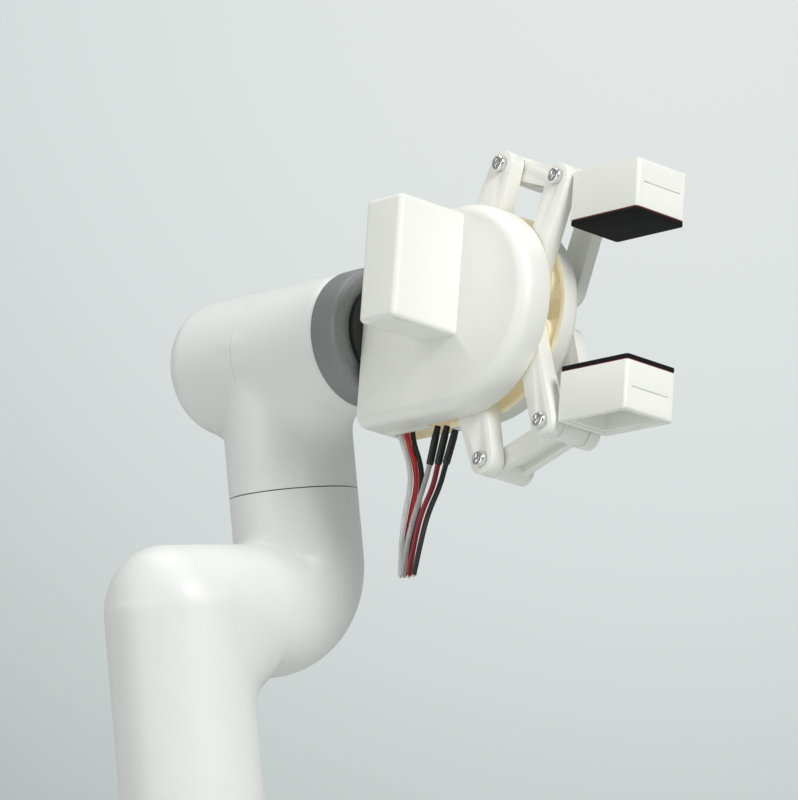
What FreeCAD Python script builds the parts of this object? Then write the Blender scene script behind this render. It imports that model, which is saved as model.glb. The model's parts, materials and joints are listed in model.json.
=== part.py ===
import FreeCAD, Part
import math
import os
import Sketcher

# A desktop six-axis robot arm with a two-finger parallel gripper, standing upright in its home pose.
# Frame: millimetres, +Z up, origin at the centre of the foot ring's lower face, +X the way the tool points.
# The forearm stands over the base axis; the upper arm and the wrist stand arm_offset to its +Y side.

doc = FreeCAD.newDocument("robot_arm")
dims = doc.addObject("Spreadsheet::Sheet", "dims")

DIMENSIONS = (
    ("wall", 2.4, "moulded shell thickness"),
    ("seam", 0.4, "gap between two links at a joint"),
    ("fit_gap", 0.05, "radial running clearance of a shaft or bearing"),
    ("arm_offset", 59, "sideways step between neighbouring arm tubes"),
    ("shoulder_z", 135, "height of the shoulder axis"),
    ("elbow_z", 252, "height of the elbow axis"),
    ("wrist_z", 361, "height of the first wrist axis"),
    ("tool_z", 450, "height of the tool axis"),
    # base
    ("foot_out", 62, "foot ring outer radius"),
    ("foot_in", 50, "foot ring inner radius"),
    ("foot_high", 2, "foot ring thickness"),
    ("plate_thick", 4, "steel base plate thickness"),
    ("base_rad", 65, "base radius at the table"),
    ("base_neck", 46, "base radius at the turntable"),
    ("base_top", 64, "height of the base top"),
    ("base_wall_high", 26, "height of the upright part of the base wall"),
    ("base_slope_high", 24, "height of the sloping part of the base wall"),
    ("base_bend", 14, "edge rounding at both ends of the slope"),
    ("bolt_circle", 56, "radius of the table bolt circle"),
    ("bolt_hole", 2.25, "table bolt hole radius, for M4"),
    ("cover_screw", 58.5, "radius of the circle of base cover screws"),
    # shoulder and upper arm
    ("shoulder_head", 32, "shoulder head radius"),
    ("shoulder_tube", 28.6, "turntable tube radius"),
    ("shoulder_end", 38, "reach of the shoulder head to -Y"),
    ("shoulder_round", 9, "edge rounding of the shoulder head"),
    ("shoulder_blend", 5, "fillet between the turntable tube and the shoulder head"),
    ("upper_end", 87, "Y of the upper arm heads' closed ends"),
    ("upper_round", 12, "edge rounding of the upper arm heads"),
    ("upper_tube", 26, "upper arm tube radius"),
    ("elbow_head", 28, "elbow head radius"),
    # forearm
    ("fore_tube", 24.6, "forearm tube radius"),
    ("fore_head", 23.3, "radius of the forearm's top head"),
    ("fore_end", 21.5, "reach of the forearm's top head to -Y"),
    ("elbow_extra", 6, "how much further the forearm's elbow head reaches"),
    ("fore_round", 15, "edge rounding of the forearm heads"),
    ("fore_shoulder", 9.5, "height of the forearm tube's rounded top above the wrist axis"),
    ("fore_seam", 32.2, "Y of the first wrist joint"),
    ("elbow_seam", 29.5, "Y of the shoulder and elbow joints"),
    # wrist
    ("wrist_tube", 22.5, "wrist tube radius"),
    ("wrist_bend", 18, "centre-line radius of the wrist elbow's bend"),
    ("yaw_seam", 48.2, "depth of the wrist turning joint below the tool axis"),
    ("tee_head", 24, "tool housing radius"),
    ("tee_back", 38, "reach of the tool housing to -X"),
    ("tee_front", 41.4, "reach of the tool housing to +X"),
    ("tee_round", 10, "edge rounding of the tool housing's rear cap"),
    # flange
    ("ring_front", 54.1, "X of the flange ring's front face"),
    ("ring_round", 2.4, "edge rounding of the flange ring"),
    ("core_rad", 17.5, "flange core radius"),
    ("flange_circle", 8.5, "radius of the circle of flange screws"),
    ("mount_x", 55.8, "X of the gripper's mounting face"),
    # gripper, in its own frame turned about the tool axis
    ("grip_turn", -12.5, "turn of the gripper about the tool axis, degrees"),
    ("case_x", 98.4, "X of the gripper case's round centre"),
    ("case_rad", 35.9, "gripper case radius"),
    ("case_front", -12.6, "Y of the case's front face"),
    ("case_split", -0.7, "Y of the split between the case halves"),
    ("case_rim", 6.2, "Y of the rear half's rim behind the links"),
    ("case_back", 14.2, "Y of the case's rear face"),
    ("case_round", 4.6, "edge rounding of the case"),
    ("case_wall", 2, "gripper shell thickness"),
    ("slot_x", 77, "X where the link slot begins"),
    ("hump_x", 93.7, "X of the servo hump's centre"),
    ("hump_wide", 17.6, "servo hump width"),
    ("hump_low", -11.3, "Z of the servo hump's lower face"),
    ("hump_high", 32, "Z of the servo hump's upper face"),
    ("hump_front", -41.2, "Y of the servo hump's front face"),
    ("gear_x", 94.75, "X of the gear centres"),
    ("gear_pitch", 18.5, "pitch radius of the sector gears, and their height off the mid plane"),
    ("gear_module", 1, "gear module"),
    ("link_long", 35, "length of the four-bar links"),
    ("link_lean", 18.4, "lean of the links at rest, degrees from upright"),
    ("follow_dx", 27.6, "X from a drive pivot to its follower pivot"),
    ("follow_dz", -9.4, "rise from a drive pivot to its follower pivot"),
    ("link_front", -0.2, "Y of the links' front faces"),
    ("link_back", 5.8, "Y of the links' rear faces"),
    ("finger_front", 6.1, "Y of the finger carrier's front face"),
    ("finger_rear", 17.7, "Y of the finger carrier's rear face"),
    ("rear_plate", 18, "Y of the rear follower plate's front face"),
    ("rear_plate_thick", 4.6, "thickness of the rear follower plate"),
    ("pivot_boss", 4.8, "radius of the finger carrier's pivot bosses"),
    ("jaw_x", 139, "X of the finger box's inner end"),
    ("jaw_long", 31.4, "length of the finger box"),
    ("jaw_y", 1.4, "Y of the finger box's front face"),
    ("jaw_wide", 22.8, "width of the finger box"),
    ("jaw_low", 26.3, "height of the finger box's inner face off the mid plane"),
    ("jaw_high", 43, "height of the finger box's outer face off the mid plane"),
    ("pad_thick", 2, "rubber pad thickness"),
    ("wire_rad", 0.92, "lead wire radius"),
)
for row, (alias, value, note) in enumerate(DIMENSIONS, start=1):
    dims.set(f"A{row}", note)
    dims.set(f"B{row}", str(value))
    dims.setAlias(f"B{row}", alias)
doc.recompute()
D = {alias: float(dims.get(alias)) for alias, _, _ in DIMENSIONS}
NODES = []


# ---------------------------------------------------------------- helpers
def bound(expression):
    """An expression of sheet aliases, written with their sheet's name for FreeCAD."""
    words, word = [], ""
    for letter in str(expression) + " ":
        if letter.isalnum() or letter in "_.":
            word += letter
            continue
        words.append(f"dims.{word}" if word in D else word)
        words.append(letter)
        word = ""
    return "".join(words).strip()


def bind(thing, **sizes):
    for name, expression in sizes.items():
        thing.setExpression(name, bound(expression))
    return thing


def put(thing, at, turn=FreeCAD.Rotation()):
    """Places a thing at a point given as three expressions."""
    thing.Placement = FreeCAD.Placement(FreeCAD.Vector(), turn)
    for axis, expression in zip("xyz", at):
        thing.setExpression(f".Placement.Base.{axis}", bound(expression))
    return thing


ALONG = {
    "x": FreeCAD.Rotation(FreeCAD.Vector(0, 1, 0), 90),
    "y": FreeCAD.Rotation(FreeCAD.Vector(1, 0, 0), -90),
    "z": FreeCAD.Rotation(),
}


def cylinder(radius, height, at=(0, 0, 0), along="z"):
    """A cylinder that starts at a point and runs in the positive direction of an axis."""
    made = bind(doc.addObject("Part::Cylinder", "cylinder"), Radius=radius, Height=height)
    return put(made, at, ALONG[along])


def cone(first, second, height, at=(0, 0, 0), along="z"):
    made = bind(doc.addObject("Part::Cone", "cone"), Radius1=first, Radius2=second, Height=height)
    return put(made, at, ALONG[along])


def block(low, high):
    """A box between two corners given as expressions."""
    made = doc.addObject("Part::Box", "box")
    sides = [f"({b}) - ({a})" for a, b in zip(low, high)]
    return put(bind(made, Length=sides[0], Width=sides[1], Height=sides[2]), low)


def fuse(*things):
    made = doc.addObject("Part::MultiFuse", "fuse")
    made.Shapes = list(things)
    return made


def cut(base, *tools):
    for tool in tools:
        made = doc.addObject("Part::Cut", "cut")
        made.Base, made.Tool = base, tool
        base = made
    return base


def common(first, second):
    made = doc.addObject("Part::MultiCommon", "common")
    made.Shapes = [first, second]
    return made


def group(*things):
    made = doc.addObject("Part::Compound", "group")
    made.Links = list(things)
    return made


def copy(thing):
    made = doc.addObject("Part::Compound", "copy")
    made.Links = [thing]
    return made


def rounded(thing, radius, pick):
    """Rounds the edges that pick chooses; pick gets each edge."""
    doc.recompute()
    edges = [n for n, edge in enumerate(thing.Shape.Edges, start=1) if pick(edge)]
    if not edges:
        raise ValueError(f"no edge to round on {thing.Name}")
    made = doc.addObject("Part::Fillet", "round")
    made.Base = thing
    made.Edges = [(n, radius, radius) for n in edges]
    doc.recompute()
    return made


def edges_on(axis, place):
    """Picks every edge that lies in the plane where axis is place."""
    def pick(edge):
        box = edge.BoundBox
        low, high = {"x": (box.XMin, box.XMax), "y": (box.YMin, box.YMax), "z": (box.ZMin, box.ZMax)}[axis]
        return abs(low - place) < 0.01 and abs(high - place) < 0.01
    return pick


def circle_at(axis, place):
    """Picks whole circles that lie in the plane where axis is place."""
    def pick(edge):
        return edge.Curve.TypeId == "Part::GeomCircle" and edges_on(axis, place)(edge)
    return pick


def node(thing, name):
    thing.Label = name
    NODES.append(thing)
    return thing


def solid(shape):
    """A fixed shape, for outlines that no primitive makes."""
    made = doc.addObject("Part::Feature", "shape")
    made.Shape = shape
    return made


def around(count, radius, start=0.0):
    """Points evenly round the base axis."""
    step = 360.0 / count
    angles = [math.radians(start + step * n) for n in range(count)]
    return [(radius * math.cos(a), radius * math.sin(a)) for a in angles]


# ---------------------------------------------------------------- joint parts
def joint_servo(name, wide, deep, start, end, axis, centre):
    """A square servo body between two places along an axis, with a round gearbox nose at its end."""
    nose = 5 if end > start else -5
    low, high = sorted((start, end - nose))
    nose_low = min(end - nose, end)
    x, y, z = centre
    half = (wide / 2, deep / 2)
    if axis == "x":
        body = block((low, y - half[0], z - half[1]), (high, y + half[0], z + half[1]))
        gearbox = cylinder(min(half) - 0.5, 5, (nose_low, y, z), "x")
    elif axis == "y":
        body = block((x - half[0], low, z - half[1]), (x + half[0], high, z + half[1]))
        gearbox = cylinder(min(half) - 0.5, 5, (x, nose_low, z), "y")
    else:
        body = block((x - half[0], y - half[1], low), (x + half[0], y + half[1], high))
        gearbox = cylinder(min(half) - 0.5, 5, (x, y, nose_low), "z")
    doc.recompute()
    return node(fuse(body, gearbox), name)


def shifted(centre, axis, amount):
    """A centre line point moved along its axis."""
    point = list(centre)
    point["xyz".index(axis)] = amount
    return tuple(point)


def joint_bearing(name, inner, outer, start, thick, axis, centre):
    """A thin bearing ring that the output disc's hub runs in."""
    at = shifted(centre, axis, start)
    bore = cylinder(inner, f"({thick}) + 2", shifted(centre, axis, f"({start}) - 1"), axis)
    return node(cut(cylinder(outer, thick, at, axis), bore), name)


def joint_disc(name, disc, hub, face, thick, reach, axis, centre):
    """An output disc whose hub reaches back through the bearing. A negative reach points to -axis."""
    plate = cylinder(disc, thick, shifted(centre, axis, face), axis)
    if reach < 0:
        shaft = cylinder(hub, f"{-reach} + 0.5", shifted(centre, axis, f"({face}) - {-reach}"), axis)
    else:
        shaft = cylinder(hub, f"{reach} + 0.5", shifted(centre, axis, f"({face}) + ({thick}) - 0.5"), axis)
    return node(fuse(plate, shaft), name)


# ---------------------------------------------------------------- base
def foot_ring():
    ring = cut(cylinder("foot_out", "foot_high"), cylinder("foot_in", "foot_high + 2", (0, 0, -1)))
    for x, y in around(4, D["bolt_circle"]):
        ring = cut(ring, cylinder("bolt_hole", "foot_high + 2", (x, y, -1)))
    for x, y in around(4, D["cover_screw"], 45):
        ring = cut(ring, cylinder(3.2, "foot_high + 2", (x, y, -1)))
    node(ring, "foot_ring")


def base_plate():
    """Steel disc: a padded circle with pocketed bolt holes and counterbored cover screw holes."""
    body = doc.addObject("PartDesign::Body", "plate_body")
    flat = next(f for f in body.Origin.OriginFeatures if f.Role == "XY_Plane")
    outline = body.newObject("Sketcher::SketchObject", "plate_outline")
    outline.AttachmentSupport = [(flat, "")]
    outline.MapMode = "FlatFace"
    outline.addGeometry(Part.Circle(FreeCAD.Vector(), FreeCAD.Vector(0, 0, 1), D["base_rad"]))
    outline.addConstraint(Sketcher.Constraint("Coincident", 0, 3, -1, 1))
    outline.addConstraint(Sketcher.Constraint("Radius", 0, D["base_rad"]))
    outline.renameConstraint(1, "rim")
    outline.setExpression("Constraints.rim", "dims.base_rad")
    pad = body.newObject("PartDesign::Pad", "plate_pad")
    pad.Profile = outline
    pad.setExpression("Length", "dims.plate_thick")
    doc.recompute()

    def pocket(label, radius, circle, start, deep):
        holes = body.newObject("Sketcher::SketchObject", f"{label}_holes")
        holes.AttachmentSupport = [(flat, "")]
        holes.MapMode = "FlatFace"
        for n, (x, y) in enumerate(around(4, circle, start)):
            holes.addGeometry(Part.Circle(FreeCAD.Vector(x, y, 0), FreeCAD.Vector(0, 0, 1), radius))
        made = body.newObject("PartDesign::Pocket", f"{label}_pocket")
        made.Profile = holes
        made.Reversed = True
        made.Length = deep
        doc.recompute()

    pocket("bolt", D["bolt_hole"], D["bolt_circle"], 0, D["plate_thick"] + 1)
    pocket("screw", 1.7, D["cover_screw"], 45, D["plate_thick"] + 1)
    pocket("head", 3.0, D["cover_screw"], 45, 2.0)
    body.Placement.Base = FreeCAD.Vector(0, 0, D["foot_high"])
    node(body, "base_plate")


def base_bell(inset):
    """The base's outer form, or its hollow when inset is the wall."""
    low = "foot_high + plate_thick"
    upright = cylinder(f"base_rad - {inset}", "base_wall_high", (0, 0, low))
    slope_low = f"{low} + base_wall_high"
    slope = cone(f"base_rad - {inset}", f"base_neck - {inset}", "base_slope_high", (0, 0, slope_low))
    neck_low = f"{slope_low} + base_slope_high"
    neck = cylinder(f"base_neck - {inset}", f"base_top - ({neck_low}) - {inset}", (0, 0, neck_low))
    bell = fuse(upright, slope, neck)
    bend_low = D["foot_high"] + D["plate_thick"] + D["base_wall_high"]
    bend_high = bend_low + D["base_slope_high"]

    def pick(edge):
        return circle_at("z", bend_low)(edge) or circle_at("z", bend_high)(edge)
    return rounded(bell, D["base_bend"], pick)


def base_housing():
    shell = rounded(base_bell(0), 3, circle_at("z", D["base_top"]))
    hollow = base_bell(D["wall"])
    shell = cut(shell, hollow, cylinder(24, 10, (0, 0, "base_top - 6")))
    shell = cut(shell, block((-70, -27, 10), (-52, 27, 32)))
    low = "foot_high + plate_thick"
    corners = around(4, D["cover_screw"], 45)
    posts = [cylinder(5, 12, (x, y, low)) for x, y in corners]
    bores = [cylinder(1.6, 11, (x, y, f"{low} - 1")) for x, y in corners]
    node(cut(fuse(shell, *posts), *bores), "base_housing")
    heads = []
    for x, y in corners:
        head = cylinder(2.8, 1.8, (x, y, "foot_high + 0.1"))
        shank = cylinder(1.5, 11, (x, y, "foot_high + 1.8"))
        driver = cylinder(1.2, 1, (x, y, "foot_high + 0.1"))
        heads.append(cut(fuse(head, shank), driver))
    node(group(*heads), "base_cover_screws")


def rear_panel():
    """Socket panel that closes the opening in the base's rear, with its two sockets and the power button."""
    panel = block((-61, -26.9, 10.1), (-58.4, 26.9, 31.9))
    panel = cut(panel, cylinder(4.6, 10, (-64, -15, 21), "x"), block((-64, -5.1, 16.9), (-56, 5.1, 25.1)))
    panel = cut(panel, cylinder(5.7, 10, (-64, 16, 21), "x"))
    node(panel, "rear_panel")
    jack = fuse(cylinder(4.5, 12, (-61.6, -15, 21), "x"), block((-58.3, -21, 15), (-49.6, -9, 27)))
    node(cut(jack, cylinder(2.8, 10, (-62, -15, 21), "x")), "power_socket")
    usb = block((-61.6, -5, 17), (-48, 5, 25))
    usb = cut(usb, block((-62, -4.2, 18.2), (-52, 4.2, 23.8)))
    node(usb, "data_socket")
    button = fuse(cylinder(5.6, 4, (-62.9, 16, 21), "x"), cylinder(7, 1.4, (-58.3, 16, 21), "x"),
                  cylinder(5.6, 1, (-59.2, 16, 21), "x"))
    node(button, "power_button")
    board = block((-30, -44, 9), (30, -26, 10.6))
    chips = [block((-24, -42, 10.6), (-12, -30, 12.2)), block((-4, -41, 10.6), (8, -31, 13)),
             cylinder(4, 8, (18, -35, 10.6))]
    stands = [cylinder(2, 3.1, (x, -35, 6)) for x in (-27, 27)]
    node(fuse(board, *chips, *stands), "control_board")


def base():
    foot_ring()
    base_plate()
    base_housing()
    rear_panel()
    joint_servo("base_servo", 44, 44, 6, 59.5, "z", (0, 0, 0))
    joint_bearing("base_bearing", 18 + D["fit_gap"], 23.95, "base_top - 4", 4, "z", (0, 0, 0))


# ---------------------------------------------------------------- arm links
def head(radius, start, end, height, side, inset, edge):
    """A cross cylinder along Y whose closed end, on the given side, is rounded."""
    made = cylinder(radius, f"({end}) - ({start})", (0, start, height), "y")
    return rounded(made, edge - inset, circle_at("y", start if side < 0 else end))


def blended(thing, radius):
    """Rounds the saddle-shaped edge where the turntable tube meets the shoulder head."""
    saddle = FreeCAD.Vector(0, 0, D["shoulder_z"] - 20)

    def pick(edge):
        near = (edge.BoundBox.Center - saddle).Length < 25
        return near and edge.Curve.TypeId != "Part::GeomCircle"
    return rounded(thing, radius, pick)


def shoulder():
    axis_z = D["shoulder_z"]
    face = "base_top + seam + 0.2"
    joint_disc("base_output", "shoulder_tube - wall - 0.05", 18, face, 4, -4.1, "z", (0, 0, 0))

    def form(inset, low):
        tube = cylinder(f"shoulder_tube - {inset}", f"shoulder_z - ({low})", (0, 0, low))
        open_end = D["elbow_seam"] - 0.2 + (1 if inset else 0)
        cross = head(f"shoulder_head - {inset}", -D["shoulder_end"] + inset, open_end, axis_z, -1, inset,
                     D["shoulder_round"])
        return fuse(tube, cross)
    outer = blended(form(0, D["base_top"] + D["seam"]), D["shoulder_blend"])
    inner = form(D["wall"], D["base_top"] + D["seam"] - 1)
    shell = cut(outer, inner)
    split = -D["shoulder_end"] + 7
    cap_zone = block((-40, -45, axis_z - 40), (40, split, axis_z + 40))
    body_zone = block((-40, -45, axis_z - 40), (40, split + 0.1, axis_z + 40))
    node(cut(shell, body_zone), "shoulder_housing")
    node(common(copy(shell), cap_zone), "shoulder_cap")
    joint_servo("shoulder_servo", 40, 40, -28, 24.5, "y", (0, 0, axis_z))
    rim = "shoulder_head - wall - 0.05"
    joint_bearing("shoulder_bearing", 18 + D["fit_gap"], rim, 25.2, 4, "y", (0, 0, axis_z))


def covered(shell, name, cover_name, low, high):
    """Splits a service cover out of a link's shell."""
    grown_low = [v - 0.1 for v in low]
    grown_high = [v + 0.1 for v in high]
    node(cut(shell, block(grown_low, grown_high)), name)
    node(common(copy(shell), block(low, high)), cover_name)


def upper_arm():
    low_z, high_z, y = D["shoulder_z"], D["elbow_z"], D["arm_offset"]
    seam = D["elbow_seam"] + 0.2
    joint_disc("shoulder_output", "shoulder_head - wall - 0.05", 18, seam + 0.1, 4, -4.3, "y", (0, 0, low_z))

    def form(inset):
        open_end = seam - (1 if inset else 0)
        closed_end = D["upper_end"] - inset
        lower = head(f"shoulder_head - {inset}", open_end, closed_end, low_z, 1, inset, D["upper_round"])
        upper = head(f"elbow_head - {inset}", open_end, closed_end, high_z, 1, inset, D["upper_round"])
        tube = cylinder(f"upper_tube - {inset}", "elbow_z - shoulder_z", (0, y, low_z))
        return fuse(lower, upper, tube)
    shell = cut(form(0), form(D["wall"]))
    low, high = (-17, y + 19, low_z + 42), (17, y + 30, high_z - 40)
    covered(shell, "upper_arm_housing", "upper_arm_cover", low, high)
    joint_servo("elbow_servo", 34, 34, y + 18, seam + 5.2, "y", (0, 0, high_z))
    rim = "elbow_head - wall - 0.05"
    joint_bearing("elbow_bearing", 15 + D["fit_gap"], rim, seam + 0.4, 4, "y", (0, 0, high_z))


def forearm():
    low_z, high_z = D["elbow_z"], D["wrist_z"]
    face = D["elbow_seam"] - 0.3 - 4
    joint_disc("elbow_output", "elbow_head - wall - 0.05", 15, face, 4, 4.6, "y", (0, 0, low_z))

    def form(inset):
        more = 1 if inset else 0
        end = -D["fore_end"] + inset
        low_seam, high_seam = D["elbow_seam"] - 0.2 + more, D["fore_seam"] - 0.2 + more
        edge = D["fore_round"]
        lower = head(f"elbow_head - {inset}", end - D["elbow_extra"], low_seam, low_z, -1, inset, edge)
        upper = head(f"fore_head - {inset}", end, high_seam, high_z, -1, inset, edge)
        top = high_z + D["fore_shoulder"] - inset
        tube = cylinder(f"fore_tube - {inset}", top - low_z, (0, 0, low_z))
        doc.recompute()
        tube = rounded(tube, 9 - inset, circle_at("z", top))
        return fuse(lower, upper, tube)
    shell = cut(form(0), form(D["wall"]))
    low, high = (-30, -15, low_z + 36), (-17, 15, high_z - 30)
    covered(shell, "forearm_housing", "forearm_cover", low, high)
    joint_servo("wrist_servo", 27, 27, -13, 27.3, "y", (0, 0, high_z))
    joint_bearing("wrist_bearing", 12 + D["fit_gap"], "fore_head - wall - 0.05", 27.9, 4, "y", (0, 0, high_z))


def wrist_elbow():
    y, z = D["arm_offset"], D["wrist_z"]
    seam = D["fore_seam"] + 0.2
    top = D["tool_z"] - D["yaw_seam"] - 0.2
    joint_disc("wrist_output", "wrist_tube - wall - 0.05", 12, seam + 0.1, 3.6, -4.2, "y", (0, 0, z))

    def form(inset):
        """The bend is the part of a disc beyond the turning line, turned a quarter round that line."""
        radius, bend = D["wrist_tube"] - inset, D["wrist_bend"]
        centre = FreeCAD.Vector(0, y - bend, z + bend)
        outline = Part.Circle(FreeCAD.Vector(0, y, z + bend), FreeCAD.Vector(0, 0, 1), radius)
        disc = Part.Face(Part.Wire(outline.toShape()))
        keep = Part.makeBox(80, 60, 2, FreeCAD.Vector(-40, y - bend, z + bend - 1))
        turned = disc.common(keep).revolve(centre, FreeCAD.Vector(1, 0, 0), -90)
        more = 1 if inset else 0
        upright = cylinder(radius, top + more - z - bend, (0, y, z + bend))
        level = cylinder(radius, y - bend - seam + more, (0, seam - more, z), "y")
        return fuse(solid(turned), upright, level)
    node(cut(form(0), form(D["wall"])), "wrist_elbow")
    joint_servo("yaw_servo", 26, 26, z + 6, top - 5, "z", (0, y, 0))
    joint_bearing("yaw_bearing", 10 + D["fit_gap"], "wrist_tube - wall - 0.05", top - 4.5, 4, "z", (0, y, 0))


def tool_housing():
    y, z = D["arm_offset"], D["tool_z"]
    bottom = z - D["yaw_seam"] + 0.2
    joint_disc("yaw_output", "wrist_tube - wall - 0.05", 10, bottom + 0.1, 3.6, -4.4, "z", (0, y, 0))

    def barrel(inset, start, end):
        return cylinder(f"tee_head - {inset}", f"({end}) - ({start})", (start, y, z), "x")

    def tube(inset, low):
        return cylinder(f"wrist_tube - {inset}", z - low, (0, y, low))
    cap_zone = cylinder("tee_head + 0.15", "tee_back + 9.9", ("-tee_back - 10", y, z), "x")
    outer = cut(fuse(barrel(0, 0.1, "tee_front"), tube(0, bottom)), cap_zone)
    inner = fuse(barrel(D["wall"], -1, "tee_front + 1"), tube(D["wall"], bottom - 1))
    node(cut(outer, inner), "tool_housing")
    whole = rounded(barrel(0, "-tee_back", -0.1), D["tee_round"], circle_at("x", -D["tee_back"]))
    hollow = rounded(barrel(D["wall"], -D["tee_back"] + D["wall"], 1), D["tee_round"] - D["wall"],
                     circle_at("x", -D["tee_back"] + D["wall"]))
    node(cut(whole, hollow), "tool_housing_cap")
    joint_servo("tool_servo", 28, 28, -24, 36.4, "x", (0, y, z))
    joint_bearing("tool_bearing", 9 + D["fit_gap"], "tee_head - wall - 0.05", 37.2, 4, "x", (0, y, z))


# ---------------------------------------------------------------- tool flange
def flange():
    y, z = D["arm_offset"], D["tool_z"]
    start = "tee_front + 0.2"
    ring = cylinder("tee_head", f"ring_front - ({start})", (start, y, z), "x")
    ring = rounded(ring, D["ring_round"], circle_at("x", D["ring_front"]))
    node(cut(ring, cylinder("core_rad", 30, (35, y, z), "x")), "flange_ring")
    core = fuse(cylinder("core_rad - 0.02", f"mount_x - ({start})", (start, y, z), "x"),
                cylinder(9, 5, (37.4, y, z), "x"))
    holes = [cylinder(1.6, 8, (48.9, y + a, z + b), "x") for a, b in around(4, D["flange_circle"], 45)]
    node(cut(core, *holes), "flange_core")
    screws = []
    for a, b in around(4, D["flange_circle"], 45):
        head_part = cylinder(2.7, 2, ("mount_x + case_wall", y + a, z + b), "x")
        shank = cylinder(1.5, 9, (49, y + a, z + b), "x")
        driver = cylinder(1.2, 2, ("mount_x + case_wall + 1", y + a, z + b), "x")
        screws.append(cut(fuse(head_part, shank), driver))
    node(group(*screws), "flange_screws")


# ---------------------------------------------------------------- gripper
def in_gripper(thing, name):
    """Stands a thing made in the gripper's own frame on the turned tool flange."""
    made = copy(thing)
    put(made, (0, "arm_offset", "tool_z"), FreeCAD.Rotation(FreeCAD.Vector(1, 0, 0), D["grip_turn"]))
    return node(made, name)


def case_form(start, end, inset, left):
    """The D-shaped case outline between two Y places."""
    long_side = block((left, start, f"-case_rad + {inset}"), ("case_x", end, f"case_rad - {inset}"))
    round_end = cylinder(f"case_rad - {inset}", f"({end}) - ({start})", ("case_x", start, 0), "y")
    return fuse(long_side, round_end)


def outline_on(place, left):
    """Picks the D outline's edges on a face, leaving the mounting end sharp."""
    def pick(edge):
        return edges_on("y", place)(edge) and edge.BoundBox.XMax > left + 0.5
    return pick


def pivots():
    """Drive and follower pivots, and their outer pivots at rest, on the upper side, as (x, z)."""
    lean = math.radians(D["link_lean"])
    step = (D["link_long"] * math.sin(lean), D["link_long"] * math.cos(lean))
    drive = (D["gear_x"], D["gear_pitch"])
    follow = (drive[0] + D["follow_dx"], drive[1] + D["follow_dz"])
    return drive, follow, (drive[0] + step[0], drive[1] + step[1]), (follow[0] + step[0], follow[1] + step[1])


def front_shell():
    wall = D["case_wall"]
    outer = rounded(case_form("case_front", "case_split", 0, "mount_x"), D["case_round"],
                    outline_on(D["case_front"], D["mount_x"]))
    half = "hump_wide / 2"
    hump = block((f"hump_x - {half}", "hump_front", "hump_low"),
                 (f"hump_x + {half}", "case_front + 2", "hump_high"))

    def outside(edge):
        return edge.BoundBox.YMin < D["hump_front"] + 0.1 or edge.BoundBox.YLength > 20
    hump = rounded(hump, 2, outside)
    inner = rounded(case_form(D["case_front"] + wall, D["case_split"] + 1, wall, D["mount_x"] + wall),
                    D["case_round"] - wall, outline_on(D["case_front"] + wall, D["mount_x"] + wall))
    pit = block((f"hump_x - {half} + {wall}", f"hump_front + {wall}", f"hump_low + {wall}"),
                (f"hump_x + {half} - {wall}", "case_front + 4", f"hump_high - {wall}"))
    shell = cut(fuse(outer, hump), inner, pit)
    holes = [cylinder(1.6, 6, ("mount_x - 1", a, b), "x") for a, b in flange_holes() if a < 0]
    in_gripper(cut(shell, *holes), "gripper_front_shell")


def flange_holes():
    """The flange screws' places in the turned gripper frame."""
    turn = math.radians(-D["grip_turn"])
    points = []
    for a, b in around(4, D["flange_circle"], 45):
        points.append((a * math.cos(turn) - b * math.sin(turn), a * math.sin(turn) + b * math.cos(turn)))
    return points


def rear_shell():
    wall = D["case_wall"]
    outer = rounded(case_form("case_split + 0.1", "case_back", 0, "mount_x"), D["case_round"] - 1,
                    outline_on(D["case_back"], D["mount_x"]))
    inner = rounded(case_form(D["case_split"] - 1, D["case_back"] - wall, wall, D["mount_x"] + wall),
                    D["case_round"] - 1 - wall, outline_on(D["case_back"] - wall, D["mount_x"] + wall))
    slot = block(("slot_x", "case_split - 1", -40), (140, "case_rim", 40))
    shell = cut(outer, inner, slot)
    drive, follow, _, _ = pivots()
    floor = D["case_back"] - wall + 0.5
    rest = D["link_back"] + 0.2
    extras = []
    for side in (1, -1):
        extras.append(cylinder(4.5, floor - rest, (drive[0], rest, side * drive[1]), "y"))
        extras.append(cylinder(2.5, floor - 1.2, (drive[0], 1.2, side * drive[1]), "y"))
        extras.append(cylinder(5.5, floor - rest, (follow[0], rest, side * follow[1]), "y"))
    for height in (-5.5, 6.5):
        extras.append(block((D["case_x"] + 12, 8.6, height - 1.2), (D["case_x"] + 31, floor, height + 1.2)))
    shell = fuse(shell, *extras)
    for side in (1, -1):
        shell = cut(shell, cylinder(3 + D["fit_gap"], 20, (follow[0], 0, side * follow[1]), "y"))
    outlet = block(("mount_x + case_wall", 3.1, -37), (82.4, "case_back - case_wall", -30))
    shell = cut(shell, outlet)
    holes = [cylinder(1.6, 6, ("mount_x - 1", a, b), "x") for a, b in flange_holes() if a > 0]
    in_gripper(cut(shell, *holes), "gripper_rear_shell")


def gripper_servo():
    drive, _, _, _ = pivots()
    wide = "hump_wide / 2 - case_wall - 0.3"
    body = block((f"hump_x - ({wide})", "hump_front + case_wall + 0.3", "hump_low + case_wall + 0.5"),
                 (f"hump_x + {wide}", -13.5, "hump_high - case_wall - 0.5"))
    ears = block((f"hump_x - ({wide})", -18, "hump_low + case_wall + 0.2"),
                 (f"hump_x + {wide}", -16, "hump_high - case_wall - 0.2"))
    nose = cylinder(5.5, 6, (drive[0], -14, drive[1]), "y")
    shaft = cylinder(2.4, 5.5, (drive[0], -8.5, drive[1]), "y")
    in_gripper(fuse(body, ears, nose, shaft), "gripper_servo")
    horn = cylinder(6.5, 5.6, (drive[0], -7.8, drive[1]), "y")
    horn = cut(horn, cylinder(2.45, 5.3, (drive[0], -8, drive[1]), "y"))
    neck = cylinder(5, 2.2, (drive[0], -2.4, drive[1]), "y")
    in_gripper(fuse(horn, neck), "servo_horn")


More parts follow.
